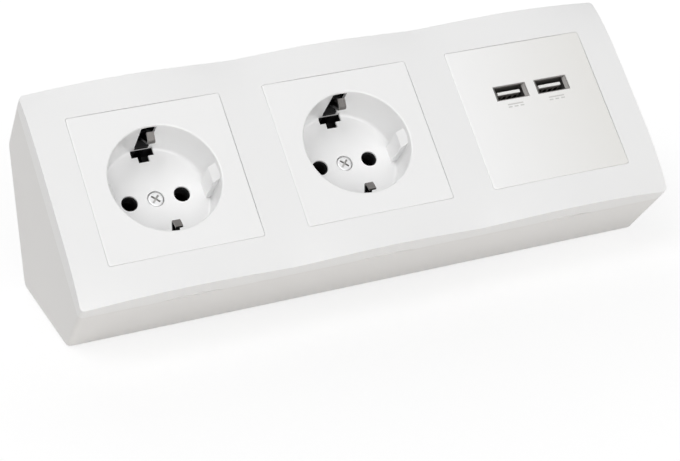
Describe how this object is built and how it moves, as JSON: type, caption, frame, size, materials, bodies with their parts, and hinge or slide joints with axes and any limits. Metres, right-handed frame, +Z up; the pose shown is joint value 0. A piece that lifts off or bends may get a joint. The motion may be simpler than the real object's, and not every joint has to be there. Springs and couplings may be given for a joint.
{
  "type": "under-cabinet power socket",
  "caption": "Wedge-backed corner socket box with a crowned cover frame, round earthed wells and charging ports, fixed where a wall meets a worktop or cabinet.",
  "frame": {"origin": "middle of the underside, the slanting leg that the box stands on", "axes": "+X along the length to the right, +Y towards the wall, +Z up; the front faces -Y and +Z at 45 degrees"},
  "size_m": [0.222, 0.0828, 0.0827],
  "materials": {
    "white_plastic": "satin",
    "satin_white_plastic": "satin",
    "dark_insert_plastic": "matte",
    "tongue_plastic": "matte",
    "zinc_steel": "zinc plated",
    "nickel_strip": "nickel plated",
    "contact_brass": "bright",
    "grommet_rubber": "matte",
    "board_laminate": "satin",
    "ferrite": "matte",
    "capacitor_can": "gloss",
    "brown_insulation": "satin",
    "blue_insulation": "satin",
    "green_insulation": "satin"
  },
  "bodies": {
    "root": {"housing": "white_plastic", "cable_grommet": "grommet_rubber", "cover_frame": "white_plastic", "ring_screws": "zinc_steel", "socket_1_face_plate": "white_plastic", "socket_1_base": "dark_insert_plastic", "socket_1_rear_cover": "dark_insert_plastic", "socket_1_support_ring": "zinc_steel", "socket_1_line_contact": "contact_brass", "socket_1_neutral_contact": "contact_brass", "socket_1_earth_clip": "nickel_strip", "socket_1_centre_screw": "zinc_steel", "socket_2_face_plate": "white_plastic", "socket_2_base": "dark_insert_plastic", "socket_2_rear_cover": "dark_insert_plastic", "socket_2_support_ring": "zinc_steel", "socket_2_line_contact": "contact_brass", "socket_2_neutral_contact": "contact_brass", "socket_2_earth_clip": "nickel_strip", "socket_2_centre_screw": "zinc_steel", "charger_face_plate": "satin_white_plastic", "charger_case": "dark_insert_plastic", "charger_rear_cover": "dark_insert_plastic", "charger_support_ring": "zinc_steel", "charger_board": "board_laminate", "charger_transformer": "ferrite", "charger_capacitor": "capacitor_can", "charger_terminals": "contact_brass", "port_1_shell": "nickel_strip", "port_1_tongue": "tongue_plastic", "port_1_contacts": "contact_brass", "port_2_shell": "nickel_strip", "port_2_tongue": "tongue_plastic", "port_2_contacts": "contact_brass", "line_link_1": "brown_insulation", "neutral_link_1": "blue_insulation", "line_link_2": "brown_insulation", "neutral_link_2": "blue_insulation", "earth_link_1": "green_insulation"}
  },
  "joints": []
}
